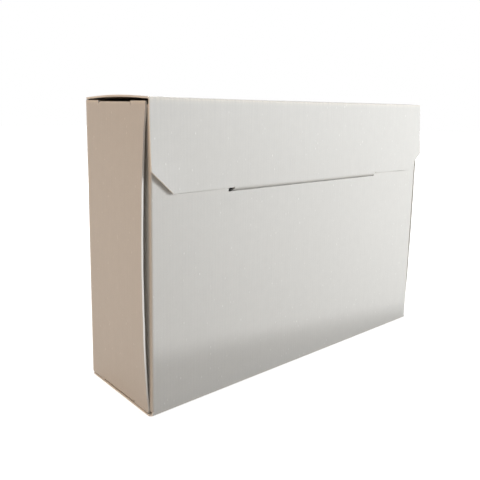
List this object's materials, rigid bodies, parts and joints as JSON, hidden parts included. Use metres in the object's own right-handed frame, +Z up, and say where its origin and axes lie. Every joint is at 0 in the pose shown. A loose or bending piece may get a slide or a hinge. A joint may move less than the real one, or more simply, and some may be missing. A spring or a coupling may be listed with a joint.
{
  "type": "archive storage box",
  "caption": "Upright folded-board storage box with a rear-hinged lid and a closing flap whose tongue tucks into a slot in the front panel.",
  "frame": {"origin": "centre of the bottom panel's underside, midway between the end panels' planes and between the front and back panels", "axes": "+X along the box's length, +Y from the front panel to the back panel, +Z up"},
  "size_m": [0.3985, 0.112, 0.278],
  "materials": {
    "body_board": "matte light grey liner, pale raw cut edges",
    "lid_board": "matte light grey liner, pale raw cut edges",
    "flap_board": "matte light grey liner, pale raw cut edges"
  },
  "bodies": {
    "box": {"box_body": "body_board"},
    "lid": {"lid_panel": "lid_board"},
    "flap": {"closing_flap": "flap_board"}
  },
  "joints": [
    {"name": "lid_hinge", "type": "hinge", "parent": "box", "child": "lid", "pos_m": [0, 0.055, 0.275], "axis": [-1, 0, 0], "range_deg": [0, 100]},
    {"name": "flap_fold", "type": "hinge", "parent": "lid", "child": "flap", "pos_m": [0, -0.057, 0.275], "axis": [-1, 0, 0], "range_deg": [0, 90]}
  ],
  "couplings": [
    {"joint": "flap_fold", "follows": "lid_hinge", "ratio": 0.9}
  ]
}
